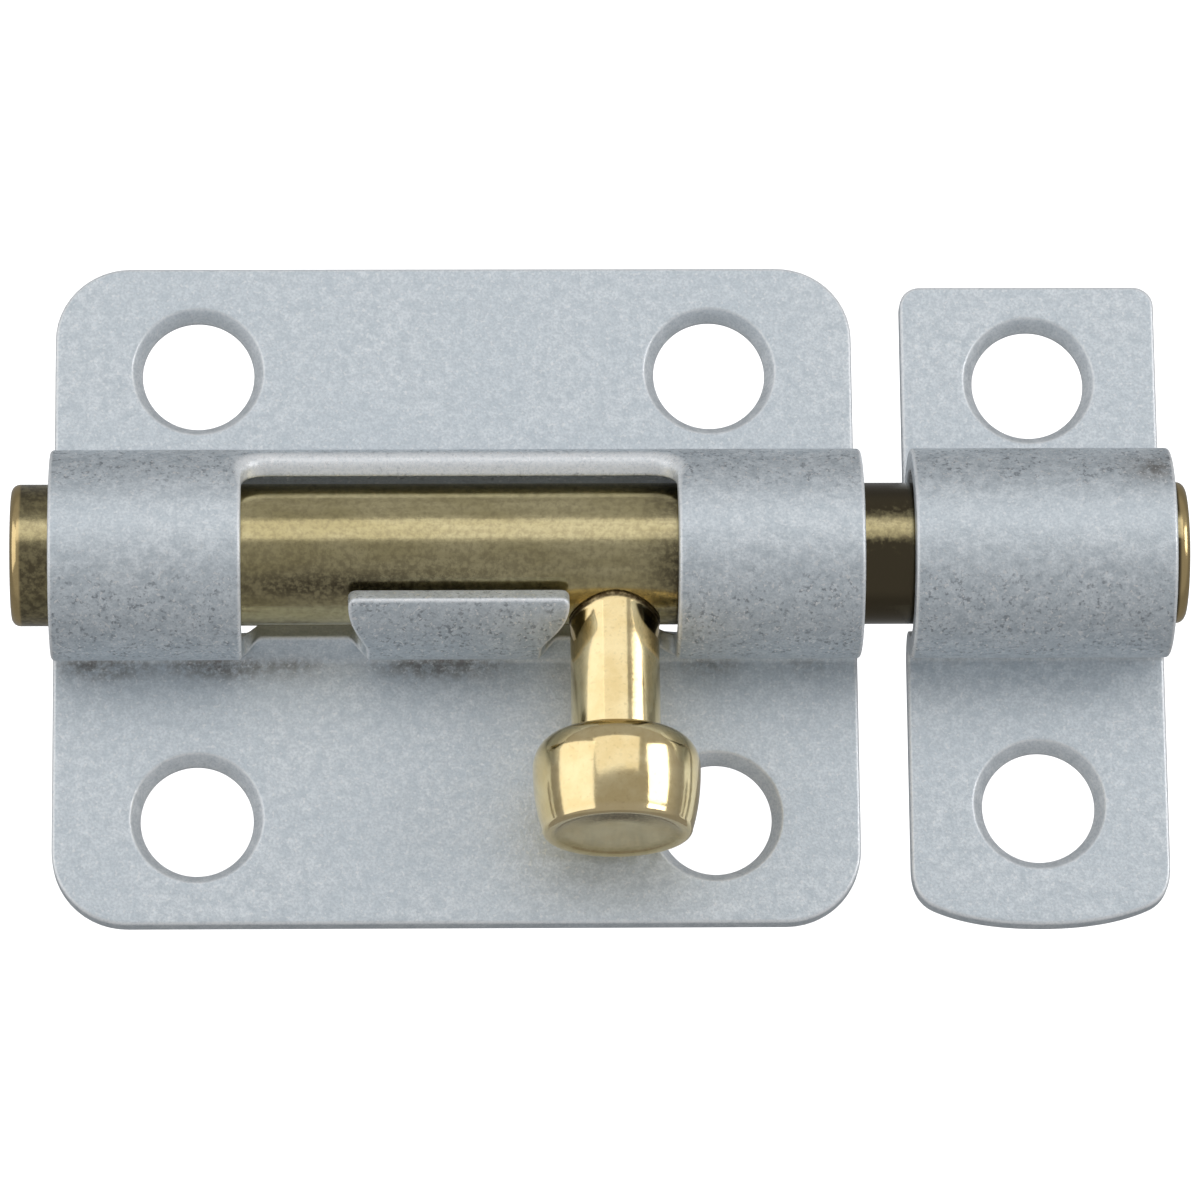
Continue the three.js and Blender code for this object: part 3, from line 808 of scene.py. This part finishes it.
def make_floor():
    """A white floor that only the camera sees, well behind the latch."""
    shader = Shader("floor_white")
    soft = shader.noise(40.0, 2.0)
    shader.finish(
        Base_Color=shader.mix(soft, (0.83, 0.83, 0.83), (0.86, 0.86, 0.86)),
        Roughness=0.9,
        Emission_Color=(1.0, 1.0, 1.0),
        Emission_Strength=0.85,
    )
    reach, depth = 3.0, -0.03
    mesh = bpy.data.meshes.new("floor")
    corners = [(-reach, -reach), (reach, -reach), (reach, reach), (-reach, reach)]
    mesh.from_pydata([(x, y, depth) for x, y in corners], [], [(0, 1, 2, 3)])
    mesh.materials.append(shader.material)
    floor = bpy.data.objects.new("floor", mesh)
    bpy.context.scene.collection.objects.link(floor)
    floor.visible_glossy = floor.visible_diffuse = False


def make_world():
    """A pale studio, darker towards the horizon and below it."""
    world = bpy.data.worlds.new("studio")
    bpy.context.scene.world = world
    world.use_nodes = True
    tree = world.node_tree
    where = tree.nodes.new("ShaderNodeTexCoord")
    split = tree.nodes.new("ShaderNodeSeparateXYZ")
    tree.links.new(where.outputs["Generated"], split.inputs[0])
    up = tree.nodes.new("ShaderNodeMapRange")
    up.interpolation_type = "SMOOTHSTEP"
    for key, value in {"From Min": -0.2, "From Max": 0.2, "To Min": 0.27, "To Max": 0.40}.items():
        up.inputs[key].default_value = value
    tree.links.new(split.outputs["Z"], up.inputs["Value"])
    tree.links.new(up.outputs["Result"], tree.nodes["Background"].inputs["Strength"])
    tree.nodes["Background"].inputs["Color"].default_value = (0.97, 0.985, 1.0, 1.0)


def make_camera():
    """The camera looks down on the face of the latch from a little below and to the left."""
    level = math.cos(VIEW_PITCH)
    ahead = Vector((math.sin(VIEW_YAW) * level, math.sin(VIEW_PITCH), -math.cos(VIEW_YAW) * level))
    side = ahead.cross(Vector((0, 1, 0))).normalized()
    up = side.cross(ahead)
    right = math.cos(VIEW_ROLL) * side + math.sin(VIEW_ROLL) * up
    up = math.cos(VIEW_ROLL) * up - math.sin(VIEW_ROLL) * side
    camera = bpy.data.objects.new("camera", bpy.data.cameras.new("camera"))
    camera.data.angle = VIEW_ANGLE
    camera.data.clip_start = 0.01
    turned_to = Matrix((right, up, -ahead)).transposed().to_4x4()
    place_of_view = Vector(VIEW_TARGET) + Vector(ORIGIN) - ahead * VIEW_DISTANCE
    camera.matrix_world = Matrix.Translation(place_of_view * MM) @ turned_to
    bpy.context.scene.collection.objects.link(camera)
    bpy.context.scene.camera = camera


make_floor()
make_world()
make_camera()
card("overhead", (-10, 240, 495), (610, 336), 0.68)
card("left", (-433, 40, 250), (480, 500), 0.86)
card("right", (415, 70, 265), (260, 270), 2.8)
bpy.context.scene.view_settings.view_transform = "Standard"

bpy.context.view_layer.update()
